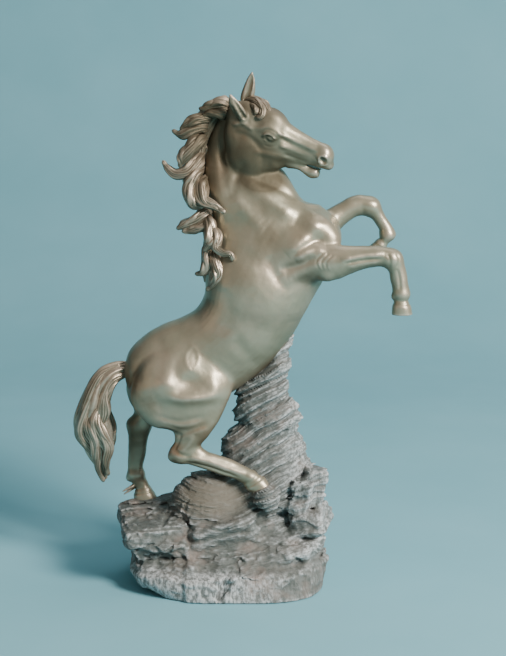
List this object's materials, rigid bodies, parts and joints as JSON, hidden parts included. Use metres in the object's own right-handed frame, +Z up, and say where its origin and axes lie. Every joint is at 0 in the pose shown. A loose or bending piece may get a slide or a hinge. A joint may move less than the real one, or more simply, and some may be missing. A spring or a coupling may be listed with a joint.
{
  "type": "horse statuette",
  "caption": "Rearing bronze horse on a rugged rock outcrop, with wavy mane and tail; stands on a felted flat underside.",
  "frame": {"origin": "on the supporting surface, under the middle of the whole statuette's box", "axes": "+Z up, +X the way the horse faces, +Y its left side"},
  "size_m": [0.25, 0.1246, 0.3798],
  "materials": {
    "bronze": "pewter-brown bronze patina, satin, warm copper on the raised parts",
    "bronze_hair": "the same patina, darker in the grooves between strands",
    "rock": "dark grey cast stone, rough, pale dry-brushed ridges",
    "steel": "plain machined steel",
    "felt": "dark green felt"
  },
  "bodies": {
    "root": {"trunk": "bronze", "neck": "bronze", "head": "bronze", "right_foreleg": "bronze", "left_foreleg": "bronze", "right_hind_leg": "bronze", "left_hind_leg": "bronze", "mane_crest": "bronze_hair", "mane_lock_1": "bronze_hair", "mane_lock_2": "bronze_hair", "mane_lock_3": "bronze_hair", "mane_lock_4": "bronze_hair", "mane_lock_5": "bronze_hair", "mane_lock_6": "bronze_hair", "mane_lock_7": "bronze_hair", "mane_lock_8": "bronze_hair", "mane_lock_9": "bronze_hair", "mane_lock_10": "bronze_hair", "mane_lock_11": "bronze_hair", "mane_lock_12": "bronze_hair", "mane_lock_13": "bronze_hair", "forelock": "bronze_hair", "tail": "bronze_hair", "rock_base": "rock", "rock_pillar": "rock", "neck_dowel": "steel", "head_dowel": "steel", "tail_dowel": "steel", "right_foreleg_dowel": "steel", "left_foreleg_dowel": "steel", "right_hip_dowel": "steel", "left_hip_dowel": "steel", "left_hoof_dowel": "steel", "right_hoof_dowel": "steel", "rock_dowel": "steel", "tie_rod": "steel", "rod_washer": "steel", "rod_nut": "steel", "closing_plate": "steel", "plate_screw_front": "steel", "plate_screw_back": "steel", "plate_screw_left": "steel", "plate_screw_right": "steel", "felt_pad": "felt"}
  },
  "joints": []
}
